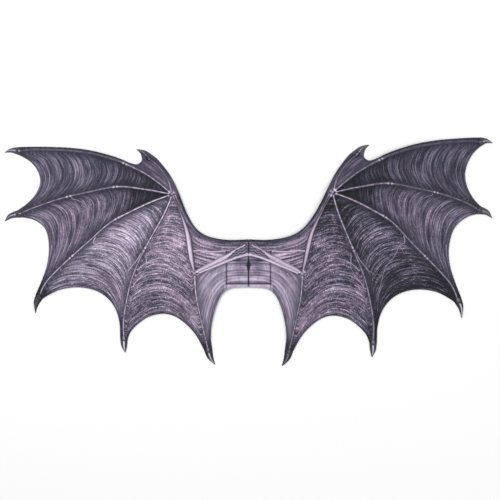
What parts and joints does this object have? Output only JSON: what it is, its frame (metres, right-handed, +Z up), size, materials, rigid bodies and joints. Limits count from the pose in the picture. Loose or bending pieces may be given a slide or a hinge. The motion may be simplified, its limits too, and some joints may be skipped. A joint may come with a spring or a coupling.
{
  "type": "costume bat wings",
  "caption": "Flat pair of fabric bat wings with raised finger bones, claws and a scalloped edge, joined at a centre seam with elastic shoulder loops behind.",
  "frame": {"origin": "bottom centre of the bounding box, on the surface that the wings lie on", "axes": "+X along the right wing, +Y from the lowest claws to the thumbs, +Z up, out of the printed face"},
  "size_m": [1.12, 0.524, 0.0199],
  "materials": {
    "wing_fabric": "foam-backed matt fabric in slate violet with fine pale streaks and a dark edge",
    "bone": "satin mauve-grey moulded foam with pale ridges and dark creases",
    "claw": "dark glossy horn with a pale highlight",
    "backing": "dark dense backing cloth",
    "webbing": "black ribbed elastic"
  },
  "bodies": {
    "root": {"right_wing_panel": "wing_fabric", "left_wing_panel": "wing_fabric", "right_finger_1": "bone", "right_finger_2": "bone", "right_finger_3": "bone", "right_finger_4": "bone", "right_finger_5": "bone", "right_thumb": "bone", "right_forearm": "bone", "right_upper_arm": "bone", "right_wrist_joint": "bone", "right_elbow_joint": "bone", "right_claw_1": "claw", "right_claw_2": "claw", "right_claw_3": "claw", "right_claw_4": "claw", "right_claw_5": "claw", "right_thumb_claw": "claw", "left_finger_1": "bone", "left_finger_2": "bone", "left_finger_3": "bone", "left_finger_4": "bone", "left_finger_5": "bone", "left_thumb": "bone", "left_forearm": "bone", "left_upper_arm": "bone", "left_wrist_joint": "bone", "left_elbow_joint": "bone", "left_claw_1": "claw", "left_claw_2": "claw", "left_claw_3": "claw", "left_claw_4": "claw", "left_claw_5": "claw", "left_thumb_claw": "claw", "back_patch": "backing", "right_strap": "webbing", "left_strap": "webbing"}
  },
  "joints": []
}
